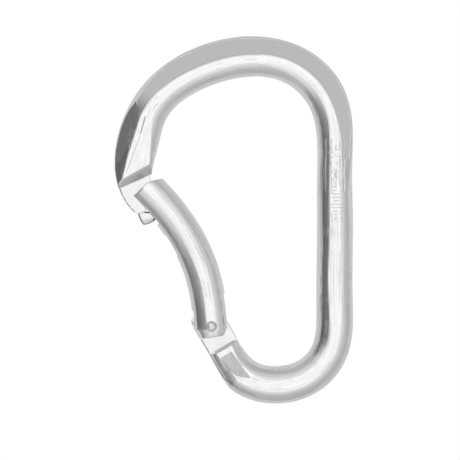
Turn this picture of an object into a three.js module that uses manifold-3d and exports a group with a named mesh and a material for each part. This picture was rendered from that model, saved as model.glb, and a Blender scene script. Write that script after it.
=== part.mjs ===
// Bent-gate, asymmetric-D climbing carabiner.
// Millimetres, +Z up. The bar lies in the XZ plane and is symmetric about Y = 0; the front faces -Y.
// The origin is the crown of the wide basket, on its inner side, where the carabiner hangs.

import * as THREE from 'three';
import { mergeVertices } from 'three/addons/utils/BufferGeometryUtils.js';
import Module from 'manifold-3d';

const wasm = await Module();
wasm.setup();

// ---------------------------------------------------------------- driving dimensions
const BAR_R = 5.04;               // radius of the round side of the bar
const WEDGE = 31;                 // degrees, slope of the forged wedge on the outside of the wide basket
const RIVET = [-9.38, -69.83];    // hinge axis (x, z), along Y
const RIVET_R = 1.2;
const PIN = [-26.21, -36.12];     // latch pin axis (x, z), along Y
const PIN_R = 1.1;
const RUN_GAP = 0.3;              // clearance between neighbours
const NOSE_TANG_H = 2.3;          // half thickness of the nose tang
const LIP_H = 1.9;                // half thickness of the hooked lip under the latch pin
const HINGE_TANG_H = 1.7;         // half thickness of the hinge tang
const NOSE_SLOT_H = NOSE_TANG_H + RUN_GAP;
const HINGE_SLOT_H = HINGE_TANG_H + RUN_GAP;
const GATE_R = 4.95;              // radius of the round gate
const BORE_DIR = [-0.2079, 0.9781];   // axis of the spring bore (x, z)
const BORE_BASE = [-8.4, -69.64];     // point of that axis next to the hinge
const BORE_R = 1.8;
const BORE_END = 17.67;           // blind end, measured along the axis from BORE_BASE
const PLUNGER_R = 1.5;
const PLUNGER_TIP = 3.53;
const PLUNGER_LEN = 6.0;
const SPRING_WIRE = 0.5;
const SPRING_R = 1.22;            // mean coil radius
const SPRING_TURNS = 8;
const FLAT_Y = 4.76;              // half thickness over the two milled flats of the spine

// Outline of the bar: matched stations on its outer and inner side, from the nose round to the hinge.
const OUTER = [[-35.32, -31.45], [-36.26, -27.27], [-36.48, -22.82], [-35.94, -17.68], [-34.63, -12.74],
  [-32.55, -8.14], [-29.72, -3.53], [-26.22, 0.34], [-22.33, 3.46], [-18.18, 6.0], [-13.81, 8.08],
  [-9.26, 9.69], [-4.53, 10.77], [0.34, 11.27], [5.34, 11.11], [10.4, 10.22], [15.36, 8.51],
  [19.98, 5.85], [24.0, 2.24], [27.13, -2.22], [29.14, -7.24], [29.97, -12.34], [30.09, -17.05],
  [30.04, -21.41], [30.03, -25.67], [30.07, -29.9], [30.11, -34.12], [30.14, -38.35], [30.16, -42.58],
  [30.16, -46.82], [30.17, -51.06], [30.2, -55.31], [30.23, -59.57], [30.27, -63.82], [30.27, -68.08],
  [30.08, -72.72], [28.88, -78.18], [26.06, -83.2], [21.99, -87.2], [17.15, -89.98], [11.9, -91.42],
  [6.44, -91.5], [0.84, -90.34], [-4.32, -87.13], [-7.45, -82.64], [-9.56, -78.58], [-11.63, -74.98]];
const INNER = [[-26.63, -30.89], [-26.26, -26.64], [-25.1, -22.68], [-24.1, -19.38], [-23.42, -16.17],
  [-22.55, -12.9], [-21.0, -10.21], [-18.76, -7.91], [-15.98, -5.84], [-12.84, -4.02], [-9.52, -2.53],
  [-6.1, -1.38], [-2.6, -0.56], [0.94, -0.09], [4.42, -0.05], [7.72, -0.53], [10.75, -1.56],
  [13.42, -3.17], [15.68, -5.26], [17.47, -7.68], [18.78, -10.37], [19.62, -13.56], [20.06, -17.32],
  [20.2, -21.43], [20.16, -25.62], [20.1, -29.87], [20.09, -34.13], [20.11, -38.38], [20.12, -42.61],
  [20.1, -46.83], [20.02, -51.04], [19.92, -55.28], [19.86, -59.52], [19.89, -63.75], [19.91, -67.91],
  [19.68, -71.7], [18.98, -74.54], [17.7, -76.83], [15.78, -78.86], [13.3, -80.24], [10.41, -80.82],
  [7.38, -80.83], [4.6, -80.42], [2.63, -79.38], [0.45, -77.31], [-1.85, -74.13], [-3.83, -70.28]];
// Centre line of the bent gate, from the latch end to the hinge end.
const GATE_PATH = [[-30.24, -28.48], [-27.85, -30.7], [-25.55, -33.02], [-23.34, -35.43], [-21.25, -37.93],
  [-19.28, -40.55], [-17.46, -43.26], [-15.8, -46.08], [-14.33, -49.0], [-13.05, -52.0], [-11.99, -55.08],
  [-11.15, -58.24], [-10.51, -61.44], [-10.04, -64.68], [-9.7, -67.94], [-9.38, -71.19], [-8.96, -74.41]];
// Side profiles (x, z) of the plates and cuts.
const NOSE_TANG = [[-35.5, -28.92], [-35.2, -30.6], [-35.23, -31.58], [-34.83, -32.42], [-34.3, -33.54],
  [-33.38, -35.22], [-32.82, -36.06], [-32.06, -36.88], [-30.83, -38.16], [-30.16, -38.53], [-28.31, -37.27],
  [-27.69, -35.28], [-24.95, -33.85], [-24.92, -33.54], [-25.34, -32.0], [-25.9, -30.52], [-26.35, -29.2],
  [-26.66, -27.5], [-26.77, -27.2], [-28.3, -26.6]];
const NOSE_LIP = [[-31.0, -36.6], [-29.4, -35.4], [-28.31, -37.27], [-28.31, -37.77], [-27.38, -38.28],
  [-25.79, -37.77], [-24.7, -37.2], [-24.45, -37.8], [-24.6, -39.3], [-25.62, -40.74], [-27.58, -41.5],
  [-28.39, -41.58], [-28.87, -41.13], [-29.32, -40.26], [-29.8, -39.15], [-30.05, -38.42]];
const HINGE_TANG = [[-9.15, -79.1], [-9.85, -77.95], [-10.22, -77.5], [-10.78, -76.44], [-11.28, -75.54],
  [-11.82, -74.7], [-12.24, -73.86], [-12.91, -73.02], [-13.44, -72.18], [-13.92, -71.34], [-14.36, -70.22],
  [-14.84, -69.38], [-15.04, -68.26], [-14.86, -67.5], [-11.2, -65.44], [-10.7, -66.42], [-10.08, -66.56],
  [-9.2, -66.47], [-8.62, -66.22], [-7.87, -66.08], [-7.03, -66.08], [-6.24, -66.25], [-5.57, -66.86],
  [-5.24, -67.62], [-5.04, -68.38], [-4.56, -68.96], [-4.09, -69.75], [-3.72, -70.39], [-3.33, -71.12],
  [-2.88, -71.99], [-2.55, -72.55], [-2.18, -73.39], [-1.85, -74.0], [-1.6, -75.6]];
const NOSE_SLOT = [[-18.4, -36.57], [-24.61, -41.61], [-29.4, -45.5], [-40.6, -35.92], [-35.0, -20.52],
  [-27.92, -27.13], [-25.87, -29.04], [-23.83, -30.94], [-21.14, -33.43]];
const HINGE_SLOT = [[-19.77, -68.46], [-5.1, -60.28], [4.76, -65.32], [4.76, -84.92], [-19.88, -84.92]];
const GATE_END = [[-33.88, -35.0], [-31.53, -33.49], [-30.44, -32.79], [-27.41, -29.85], [-25.98, -29.12],
  [-23.86, -28.59], [-20.44, -27.97], [-22.4, -20.52], [-37.24, -24.72]];
const GATE_FOOT = [[-13.55, -71.18], [-12.6, -71.26], [-11.96, -73.33], [-5.99, -72.38], [-5.57, -71.62],
  [-5.3, -70.5], [-1.4, -70.5], [-1.4, -80.72], [-18.2, -80.72], [-18.2, -71.2]];
const GATE_FLAT = [[-23.2, -43.3], [-22.55, -42.95], [-18.95, -49.3], [-18.95, -50.1], [-21.5, -52.5]];

// ---------------------------------------------------------------- solids
const fromGeometry = (geometry) => {
  const g = geometry.clone();
  g.deleteAttribute('normal');
  g.deleteAttribute('uv');
  const merged = mergeVertices(g, 1e-4);
  const pos = merged.attributes.position;
  const tri = Uint32Array.from(merged.index.array);
  const keep = [];
  for (let i = 0; i < tri.length; i += 3) {
    if (tri[i] !== tri[i + 1] && tri[i + 1] !== tri[i + 2] && tri[i] !== tri[i + 2]) keep.push(tri[i], tri[i + 1], tri[i + 2]);
  }
  const a = new THREE.Vector3(), b = new THREE.Vector3(), c = new THREE.Vector3();
  let volume = 0;
  for (let i = 0; i < keep.length; i += 3) {
    a.fromBufferAttribute(pos, keep[i]);
    b.fromBufferAttribute(pos, keep[i + 1]);
    c.fromBufferAttribute(pos, keep[i + 2]);
    volume += a.dot(b.cross(c));
  }
  if (volume < 0) for (let i = 0; i < keep.length; i += 3) [keep[i], keep[i + 1]] = [keep[i + 1], keep[i]];
  return new wasm.Manifold(new wasm.Mesh({
    numProp: 3,
    vertProperties: Float32Array.from(pos.array),
    triVerts: Uint32Array.from(keep),
  }));
};

const toGeometry = (manifold) => {
  const mesh = manifold.getMesh();
  const pos = new Float32Array(mesh.numVert * 3);
  for (let i = 0; i < mesh.numVert; i++) {
    for (let k = 0; k < 3; k++) pos[3 * i + k] = mesh.vertProperties[i * mesh.numProp + k];
  }
  const geometry = new THREE.BufferGeometry();
  geometry.setAttribute('position', new THREE.BufferAttribute(pos, 3));
  geometry.setIndex(new THREE.BufferAttribute(Uint32Array.from(mesh.triVerts), 1));
  geometry.computeVertexNormals();
  return geometry;
};

// plate with a side profile in XZ, from y = -half to y = +half
const plate = (profile, half) => {
  const shape = new THREE.Shape(profile.map(([x, z]) => new THREE.Vector2(x, z)));
  const geometry = new THREE.ExtrudeGeometry(shape, { depth: 2 * half, bevelEnabled: false });
  geometry.translate(0, 0, -half);
  geometry.rotateX(Math.PI / 2);
  return fromGeometry(geometry);
};

// round bar along Y through (x, z)
const crossBar = ([x, z], radius, half, segments = 32) => {
  const geometry = new THREE.CylinderGeometry(radius, radius, 2 * half, segments);
  geometry.translate(x, 0, z);
  return fromGeometry(geometry);
};

// the half-space in front of the plane through three points (x, half thickness, z), and its mirror behind
const planeCuts = (p, q, r) => [-1, 1].map((side) => {
  const [a, b, c] = [p, q, r].map(([x, h, z]) => new THREE.Vector3(x, side * h, z));
  const normal = b.clone().sub(a).cross(c.clone().sub(a)).normalize();
  if (normal.y * side < 0) normal.negate();
  const geometry = new THREE.BoxGeometry(60, 60, 60);
  geometry.translate(0, 0, 30);
  geometry.applyQuaternion(new THREE.Quaternion().setFromUnitVectors(new THREE.Vector3(0, 0, 1), normal));
  geometry.translate((a.x + b.x) / 2, (a.y + b.y) / 2, (a.z + b.z) / 2);
  return fromGeometry(geometry);
});

// closed skin of a cylinder, bent: place(t, angle, ring) gives each vertex its point
const bentSkin = (radial, rings, place) => {
  const geometry = new THREE.CylinderGeometry(1, 1, 1, radial, rings, false);
  const pos = geometry.attributes.position;
  for (let i = 0; i < pos.count; i++) {
    const t = THREE.MathUtils.clamp(0.5 - pos.getY(i), 0, 1);
    const ring = Math.hypot(pos.getX(i), pos.getZ(i));
    const point = place(t, Math.atan2(pos.getX(i), pos.getZ(i)), ring > 0.5 ? 1 : 0);
    pos.setXYZ(i, point.x, point.y, point.z);
  }
  return fromGeometry(geometry);
};

const ramp = (x, knots) => {
  if (x <= knots[0][0]) return knots[0][1];
  for (let i = 1; i < knots.length; i++) {
    if (x <= knots[i][0]) {
      const k = (x - knots[i - 1][0]) / (knots[i][0] - knots[i - 1][0]);
      return knots[i - 1][1] + k * (knots[i][1] - knots[i - 1][1]);
    }
  }
  return knots[knots.length - 1][1];
};

// ---------------------------------------------------------------- body
const outerLine = new THREE.SplineCurve(OUTER.map(([x, z]) => new THREE.Vector2(x, z)));
const innerLine = new THREE.SplineCurve(INNER.map(([x, z]) => new THREE.Vector2(x, z)));
const LAST = OUTER.length - 1;

// Section of the bar at station s: round inside, wedge with a slope outside where the basket is forged.
const RIDGE = [[4.9, 2.6], [5.4, 2.07], [6.1, 1.68], [7, 1.25], [8, 1.1], [11, 1.05], [20, 1.05], [21, 1.4], [21.6, 1.7],
  [22.2, 2.05], [22.8, 2.45], [23, 2.6], [24, 5]];
const sectionRadius = (s, w, angle) => {
  const slope = THREE.MathUtils.degToRad(ramp(s, [[23, WEDGE], [25, 45], [27, 62], [29, 90]]));
  const round = ramp(s, [[23, 0], [27, 1]]);
  const r = (1 - round) * ramp(s, [[0, 5.3], [3, 5.1], [5, BAR_R]]) + round * (s < 43 ? w : Math.max(w, 5.0));
  const over = ramp(s, [[0, 0.8], [1, 0.8], [3, 0.3], [4.5, 0]]);
  const centre = (1 - round) * (-w - over + r);
  const wall = w + ramp(s, [[23, 0], [27, 0.6], [42, 0.6], [43.5, 0]]);
  // the wedge starts at a ridge, u = ridge on the round side, and reaches the outer edge in one plane
  const ridge = Math.min(ramp(s, RIDGE), r * Math.sin(slope));
  const reach = ridge * Math.sin(slope) + Math.sqrt(r * r - ridge * ridge) * Math.cos(slope);
  const inside = (u, v) => {
    const du = u - centre, dv = Math.abs(v);
    const f = Math.atan2(du, dv) <= slope ? Math.hypot(du, dv) - r : du * Math.sin(slope) + dv * Math.cos(slope) - r;
    return Math.max(f, du * Math.sin(slope) + dv * Math.cos(slope) - reach, u - wall, -w - u) <= 0;
  };
  let lo = 0, hi = 9;
  for (let i = 0; i < 40; i++) {
    const mid = (lo + hi) / 2;
    if (inside(mid * Math.cos(angle), mid * Math.sin(angle))) lo = mid; else hi = mid;
  }
  return lo;
};

let bar = bentSkin(28, 88, (t, angle, ring) => {
  const o = outerLine.getPoint(t), i = innerLine.getPoint(t);
  const w = o.distanceTo(i) / 2;
  const out = o.clone().sub(i).divideScalar(2 * w);
  const mid = o.clone().add(i).multiplyScalar(0.5);
  const rho = ring * sectionRadius(t * LAST, w, angle);
  const u = rho * Math.cos(angle), v = rho * Math.sin(angle);
  return new THREE.Vector3(mid.x + out.x * u, v, mid.y + out.y * u);
});
const facets = [
  ...planeCuts([-29.12, 4.62, -10.16], [-34.5, 3.72, -26.52], [-30.1, 3.22, -6.8]),        // outside of the nose
  ...planeCuts([-27.61, 4.98, -11.12], [-29.68, 3.95, -25.56], [-17.61, 4.98, -11.12]),    // cheek of the nose
  ...planeCuts([-33.99, 3.92, -28.28], [-26.4, 3.92, -24.53], [-34.75, NOSE_TANG_H, -31.53]), // slope to the tang
  ...planeCuts([1.51, 5.2, -84.08], [-7.17, 4.5, -78.6], [-2.83, 4.5, -76.66]),            // facet by the hinge
];
const noseEnd = [[-44.0, -36.27], [-20.0, -23.97], [-20.0, -45.0], [-44.0, -45.0]];
const hingeEnd = [[-22.64, -84.84], [10.38, -66.4], [6.0, -55.0], [-30.0, -55.0]];
for (const cut of facets) bar = bar.subtract(cut);
bar = bar.subtract(plate(noseEnd, 20)).subtract(plate(hingeEnd, 20));
for (const side of [-1, 1]) {
  const mill = new THREE.BoxGeometry(6, 2, 40);
  mill.translate(25.13, side * (FLAT_Y + 1), -37);
  bar = bar.subtract(fromGeometry(mill));
}
const bodySolid = bar.add(plate(NOSE_TANG, NOSE_TANG_H)).add(plate(NOSE_LIP, LIP_H)).add(plate(HINGE_TANG, HINGE_TANG_H))
  .subtract(crossBar(RIVET, RIVET_R + RUN_GAP, 9));

// ---------------------------------------------------------------- gate
const gateLine = new THREE.SplineCurve(GATE_PATH.map(([x, z]) => new THREE.Vector2(x, z)));
let gate = bentSkin(28, 36, (t, angle, ring) => {
  const c = gateLine.getPoint(t), d = gateLine.getTangent(t);
  const u = ring * GATE_R * Math.cos(angle), v = ring * GATE_R * Math.sin(angle);
  return new THREE.Vector3(c.x + d.y * u, v, c.y - d.x * u);
});
const gateRod = gate;
gate = gate.subtract(plate(GATE_END, 12)).subtract(plate(GATE_FOOT, 12));
for (const cut of planeCuts([-14.0, 4.9, -70.87], [-4.0, 4.9, -70.87], [-9.24, 4.3, -73.16])) gate = gate.subtract(cut);
gate = gate.subtract(plate(NOSE_SLOT, NOSE_SLOT_H)).subtract(plate(HINGE_SLOT, HINGE_SLOT_H)).subtract(plate(GATE_FLAT, 6));

// solids along the spring bore are built on +Y and turned onto its axis
const boreTurn = new THREE.Matrix4().makeRotationFromQuaternion(new THREE.Quaternion()
  .setFromUnitVectors(new THREE.Vector3(0, 1, 0), new THREE.Vector3(BORE_DIR[0], 0, BORE_DIR[1]).normalize()));
const onBore = (geometry) => {
  geometry.applyMatrix4(boreTurn);
  geometry.translate(BORE_BASE[0], 0, BORE_BASE[1]);
  return geometry;
};
const bore = new THREE.CylinderGeometry(BORE_R, BORE_R, BORE_END - 3, 24);
bore.translate(0, (BORE_END + 3) / 2, 0);
gate = gate.subtract(fromGeometry(onBore(bore)))
  .subtract(crossBar(RIVET, RIVET_R + RUN_GAP, 9))
  .subtract(crossBar(PIN, PIN_R + RUN_GAP, 9, 24));

// ---------------------------------------------------------------- rivet and pin
// the pin's ends are ground flush with the round of the gate
const rivetProfile = [[0, -5.0], [0.75, -4.97], [RIVET_R, -4.8], [RIVET_R, 4.8], [0.75, 4.97], [0, 5.0]];
const rivet = new THREE.LatheGeometry(rivetProfile.map(([r, y]) => new THREE.Vector2(r, y)), 32);
rivet.translate(RIVET[0], 0, RIVET[1]);
const pinSolid = crossBar(PIN, PIN_R, 7, 24).intersect(gateRod);

// ---------------------------------------------------------------- plunger and spring
const dome = [];
for (let i = 0; i <= 6; i++) {
  const a = (i / 6) * Math.PI / 2;
  dome.push([PLUNGER_R * Math.sin(a), PLUNGER_TIP + PLUNGER_R * (1 - Math.cos(a))]);
}
const plungerTop = PLUNGER_TIP + PLUNGER_LEN;
const plungerProfile = [...dome, [PLUNGER_R, plungerTop - 0.2], [PLUNGER_R - 0.2, plungerTop], [0, plungerTop]];
const plunger = onBore(new THREE.LatheGeometry(plungerProfile.map(([r, y]) => new THREE.Vector2(r, y)), 24));

class Coil extends THREE.Curve {
  getPoint(t, target = new THREE.Vector3()) {
    const from = plungerTop + RUN_GAP + SPRING_WIRE / 2, to = BORE_END - RUN_GAP - SPRING_WIRE / 2;
    const a = t * SPRING_TURNS * 2 * Math.PI;
    return target.set(SPRING_R * Math.cos(a), from + (to - from) * t, SPRING_R * Math.sin(a));
  }
}
const wire = new THREE.Shape();
for (let i = 0; i < 6; i++) {
  const a = (i / 6) * 2 * Math.PI;
  wire[i ? 'lineTo' : 'moveTo'](SPRING_WIRE / 2 * Math.cos(a), SPRING_WIRE / 2 * Math.sin(a));
}
const spring = onBore(new THREE.ExtrudeGeometry(wire, { steps: SPRING_TURNS * 12, extrudePath: new Coil(), bevelEnabled: false }));

// ---------------------------------------------------------------- assembly
const carabiner = new THREE.Group();
carabiner.name = 'carabiner';
const piece = (name, geometry, color, roughness, metalness) => {
  const mesh = new THREE.Mesh(geometry, new THREE.MeshStandardMaterial({ color, roughness, metalness }));
  mesh.name = name;
  carabiner.add(mesh);
};
piece('body', toGeometry(bodySolid), 0xd6d7d8, 0.16, 1);
piece('gate_arm', toGeometry(gate), 0xd2d3d4, 0.18, 1);
piece('hinge_rivet', toGeometry(fromGeometry(rivet)), 0xc4c5c6, 0.25, 1);
piece('latch_pin', toGeometry(pinSolid), 0xb9bbbd, 0.25, 1);
piece('gate_spring', toGeometry(fromGeometry(spring)), 0x9a9c9f, 0.35, 1);
piece('spring_plunger', toGeometry(fromGeometry(plunger)), 0xb4b6b8, 0.3, 1);

export default carabiner;
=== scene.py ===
import math
import bpy
import numpy as np
from mathutils import Matrix, Vector


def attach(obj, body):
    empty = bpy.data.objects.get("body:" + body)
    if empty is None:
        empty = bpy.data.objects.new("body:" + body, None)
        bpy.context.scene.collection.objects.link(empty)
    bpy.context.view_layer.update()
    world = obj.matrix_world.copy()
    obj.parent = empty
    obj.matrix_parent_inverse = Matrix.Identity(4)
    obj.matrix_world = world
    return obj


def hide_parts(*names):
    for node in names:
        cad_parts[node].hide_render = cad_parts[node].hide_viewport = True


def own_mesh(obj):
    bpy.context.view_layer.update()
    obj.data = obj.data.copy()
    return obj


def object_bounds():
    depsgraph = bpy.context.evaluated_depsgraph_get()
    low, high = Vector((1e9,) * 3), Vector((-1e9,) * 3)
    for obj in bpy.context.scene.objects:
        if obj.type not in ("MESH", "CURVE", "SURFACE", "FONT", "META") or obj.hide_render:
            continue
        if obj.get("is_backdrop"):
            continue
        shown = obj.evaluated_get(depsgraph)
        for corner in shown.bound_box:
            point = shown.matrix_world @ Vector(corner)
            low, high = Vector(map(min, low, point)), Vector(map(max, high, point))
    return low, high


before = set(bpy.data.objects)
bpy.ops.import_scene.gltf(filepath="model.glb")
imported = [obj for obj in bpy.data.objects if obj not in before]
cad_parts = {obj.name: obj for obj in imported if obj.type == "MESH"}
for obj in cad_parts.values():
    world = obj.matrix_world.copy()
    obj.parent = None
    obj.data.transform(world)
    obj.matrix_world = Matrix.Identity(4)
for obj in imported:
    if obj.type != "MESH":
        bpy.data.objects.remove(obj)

cad_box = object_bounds()

# ------------------------------------------------------------------ dimensions, mm, in the row frame (x, z)
BAR_R = 5.04
WEDGE = 31.0
RIDGE = [[4.9, 2.6], [5.4, 2.07], [6.1, 1.68], [7, 1.25], [8, 1.1], [11, 1.05], [20, 1.05], [21, 1.4], [21.6, 1.7],
  [22.2, 2.05], [22.8, 2.45], [23, 2.6], [24, 5]]
RIVET = (-9.38, -69.83)
PIN = (-26.21, -36.12)
NOSE_TANG_H, LIP_H, HINGE_TANG_H = 2.3, 1.9, 1.7
NOSE_SLOT_H, HINGE_SLOT_H = 2.6, 2.0
GATE_R = 4.95
BORE_DIR = (-0.2079, 0.9781)
BORE_BASE = (-8.4, -69.64)
BORE_R, BORE_END = 1.8, 17.67
PLUNGER_R, PLUNGER_TIP, PLUNGER_LEN = 1.5, 3.53, 6.0
SPRING_WIRE, SPRING_R, SPRING_TURNS = 0.5, 1.22, 8
FLAT_Y = 4.76

OUTER = [[-35.32, -31.45], [-36.26, -27.27], [-36.48, -22.82], [-35.94, -17.68], [-34.63, -12.74],
  [-32.55, -8.14], [-29.72, -3.53], [-26.22, 0.34], [-22.33, 3.46], [-18.18, 6.0], [-13.81, 8.08],
  [-9.26, 9.69], [-4.53, 10.77], [0.34, 11.27], [5.34, 11.11], [10.4, 10.22], [15.36, 8.51],
  [19.98, 5.85], [24.0, 2.24], [27.13, -2.22], [29.14, -7.24], [29.97, -12.34], [30.09, -17.05],
  [30.04, -21.41], [30.03, -25.67], [30.07, -29.9], [30.11, -34.12], [30.14, -38.35], [30.16, -42.58],
  [30.16, -46.82], [30.17, -51.06], [30.2, -55.31], [30.23, -59.57], [30.27, -63.82], [30.27, -68.08],
  [30.08, -72.72], [28.88, -78.18], [26.06, -83.2], [21.99, -87.2], [17.15, -89.98], [11.9, -91.42],
  [6.44, -91.5], [0.84, -90.34], [-4.32, -87.13], [-7.45, -82.64], [-9.56, -78.58], [-11.63, -74.98]]
INNER = [[-26.63, -30.89], [-26.26, -26.64], [-25.1, -22.68], [-24.1, -19.38], [-23.42, -16.17],
  [-22.55, -12.9], [-21.0, -10.21], [-18.76, -7.91], [-15.98, -5.84], [-12.84, -4.02], [-9.52, -2.53],
  [-6.1, -1.38], [-2.6, -0.56], [0.94, -0.09], [4.42, -0.05], [7.72, -0.53], [10.75, -1.56],
  [13.42, -3.17], [15.68, -5.26], [17.47, -7.68], [18.78, -10.37], [19.62, -13.56], [20.06, -17.32],
  [20.2, -21.43], [20.16, -25.62], [20.1, -29.87], [20.09, -34.13], [20.11, -38.38], [20.12, -42.61],
  [20.1, -46.83], [20.02, -51.04], [19.92, -55.28], [19.86, -59.52], [19.89, -63.75], [19.91, -67.91],
  [19.68, -71.7], [18.98, -74.54], [17.7, -76.83], [15.78, -78.86], [13.3, -80.24], [10.41, -80.82],
  [7.38, -80.83], [4.6, -80.42], [2.63, -79.38], [0.45, -77.31], [-1.85, -74.13], [-3.83, -70.28]]
GATE_PATH = [[-30.24, -28.48], [-27.85, -30.7], [-25.55, -33.02], [-23.34, -35.43], [-21.25, -37.93],
  [-19.28, -40.55], [-17.46, -43.26], [-15.8, -46.08], [-14.33, -49.0], [-13.05, -52.0], [-11.99, -55.08],
  [-11.15, -58.24], [-10.51, -61.44], [-10.04, -64.68], [-9.7, -67.94], [-9.38, -71.19], [-8.96, -74.41]]
NOSE_EDGE = [[-35.45, -28.92], [-35.34, -30.2], [-35.1, -31.5], [-34.65, -32.8], [-34.03, -34.05],
  [-33.3, -35.3], [-32.42, -36.45], [-31.4, -37.55], [-30.16, -38.53]]
NOSE_TANG = [[-30.16, -38.53], [-27.75, -37.6],
  [-27.69, -35.28], [-24.95, -33.85], [-24.92, -33.54], [-25.34, -32.0], [-25.9, -30.52], [-26.35, -29.2],
  [-26.66, -27.5], [-26.77, -27.2], [-28.3, -26.6]]
NOSE_LIP = [[-29.9, -37.9], [-28.1, -37.75], [-25.9, -37.85], [-24.75, -38.2], [-24.6, -39.3], [-25.62, -40.74],
  [-27.58, -41.5], [-28.39, -41.58], [-28.87, -41.13], [-29.32, -40.26], [-29.8, -39.15], [-30.05, -38.42]]
LIP_NECK = [[-31.0, -36.8], [-29.6, -35.8], [-27.9, -37.9], [-27.4, -39.4], [-28.9, -39.8], [-29.7, -38.5]]
HINGE_TANG = [[-9.15, -79.1], [-9.85, -77.95], [-10.22, -77.5], [-10.78, -76.44], [-11.28, -75.54],
  [-11.82, -74.7], [-12.24, -73.86], [-12.91, -73.02], [-13.44, -72.18], [-13.92, -71.34], [-14.36, -70.22],
  [-14.84, -69.38], [-15.04, -68.26], [-14.86, -67.5], [-11.2, -65.44], [-10.7, -66.42], [-10.08, -66.56],
  [-9.2, -66.47], [-8.62, -66.22], [-7.87, -66.08], [-7.03, -66.08], [-6.24, -66.25], [-5.57, -66.86],
  [-5.24, -67.62], [-5.04, -68.38], [-4.56, -68.96], [-4.09, -69.75], [-3.72, -70.39], [-3.33, -71.12],
  [-2.88, -71.99], [-2.55, -72.55], [-2.18, -73.39], [-1.85, -74.0], [-1.6, -75.6]]
NOSE_SLOT = [[-18.4, -36.57], [-24.61, -41.61], [-29.4, -45.5], [-40.6, -35.92], [-35.0, -20.52],
  [-27.92, -27.13], [-25.87, -29.04], [-23.83, -30.94], [-21.14, -33.43]]
HINGE_SLOT = [[-19.77, -68.46], [-5.1, -60.28], [4.76, -65.32], [4.76, -84.92], [-19.88, -84.92]]
GATE_END = [[-40.0, -39.0], [-33.88, -35.0], [-31.53, -33.49], [-30.44, -32.79], [-27.41, -29.85], [-25.98, -29.12],
  [-23.86, -28.59], [-20.44, -27.97], [-14.0, -27.0]]
GATE_FOOT = [[-30.0, -71.18], [-13.55, -71.18], [-12.6, -71.26], [-11.96, -73.33], [-5.99, -72.38],
  [-5.57, -71.62], [-5.3, -70.5], [4.0, -70.5]]

# ------------------------------------------------------------------ numbers
def cubic(points):
    """C2 spline through the points; the parameter is the point's number."""
    p = np.asarray(points, float)
    n = len(p)
    a, b = np.zeros((n, n)), np.zeros_like(p)
    a[0, 0] = a[-1, -1] = 1
    for i in range(1, n - 1):
        a[i, i - 1], a[i, i], a[i, i + 1] = 1, 4, 1
        b[i] = 6 * (p[i - 1] - 2 * p[i] + p[i + 1])
    m = np.linalg.solve(a, b)

    def at(t):
        t = np.clip(np.asarray(t, float), 0, n - 1)
        i = np.minimum(t.astype(int), n - 2)
        f = (t - i)[..., None]
        g = 1 - f
        return m[i] * (g**3 - g) / 6 + m[i + 1] * (f**3 - f) / 6 + p[i] * g + p[i + 1] * f
    return at


def fair(points, stiff=0.3):
    p = np.asarray(points, float)
    n = len(p)
    d = np.zeros((n - 3, n))
    for i in range(n - 3):
        d[i, i:i + 4] = (-1, 3, -3, 1)
    w = np.ones(n)
    w[0] = w[-1] = 50
    return np.linalg.solve(np.diag(w) + stiff * d.T @ d, w[:, None] * p)


def ramp(x, knots):
    k = np.asarray(knots, float)
    return np.interp(x, k[:, 0], k[:, 1])


def soft_ramp(x, knots):
    """Interpolation whose corners are rounded over a third of a station."""
    return sum(ramp(x + d, knots) for d in (-0.45, -0.22, 0.0, 0.22, 0.45)) / 5


def round_max(a, b, r):
    return np.minimum(np.maximum(a, b), -r) + np.hypot(np.maximum(a + r, 0), np.maximum(b + r, 0))


def smooth_max(a, b, k):
    h = np.maximum(k - np.abs(a - b), 0) / k
    return np.maximum(a, b) + h * h * k / 4


def plane(p, q, r):
    """Signed distance in front of the plane through three points (x, half thickness, z)."""
    p, q, r = (np.asarray(v, float) for v in (p, q, r))
    n = np.cross(q - p, r - p)
    n /= np.linalg.norm(n)
    if n[1] < 0:
        n = -n
    return lambda pt: pt @ n - p @ n


def solve_radius(inside, shape, top=9.0):
    lo, hi = np.zeros(shape), np.full(shape, top)
    for _ in range(34):
        mid = (lo + hi) / 2
        ok = inside(mid) <= 0
        lo, hi = np.where(ok, mid, lo), np.where(ok, hi, mid)
    return lo


# ------------------------------------------------------------------ meshes
def new_object(name, verts, faces, scale=1.0):
    mesh = bpy.data.meshes.new(name)
    mesh.from_pydata((np.asarray(verts) * scale).tolist(), [], faces)
    mesh.update()
    obj = bpy.data.objects.new(name, mesh)
    bpy.context.scene.collection.objects.link(obj)
    return obj


def skin(rings, centre_a, centre_b):
    """Closed mesh over a list of rings, each an array (n, 3), with a fan at each end."""
    n = len(rings[0])
    verts = np.concatenate(list(rings) + [np.asarray([centre_a, centre_b])])
    faces = []
    for k in range(len(rings) - 1):
        a, b = k * n, (k + 1) * n
        faces += [(a + i, a + (i + 1) % n, b + (i + 1) % n, b + i) for i in range(n)]
    ca, cb, last = len(verts) - 2, len(verts) - 1, (len(rings) - 1) * n
    faces += [(ca, (i + 1) % n, i) for i in range(n)]
    faces += [(cb, last + i, last + (i + 1) % n) for i in range(n)]
    return verts, outward(verts, faces)


def outward(verts, faces):
    v = np.asarray(verts, float)
    vol = 0.0
    for f in faces:
        for k in range(1, len(f) - 1):
            vol += np.dot(v[f[0]], np.cross(v[f[k]], v[f[k + 1]]))
        if len(faces) > 3000 and vol and abs(vol) > 1e12:
            break
    return faces if vol > 0 else [tuple(reversed(f)) for f in faces]


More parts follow.
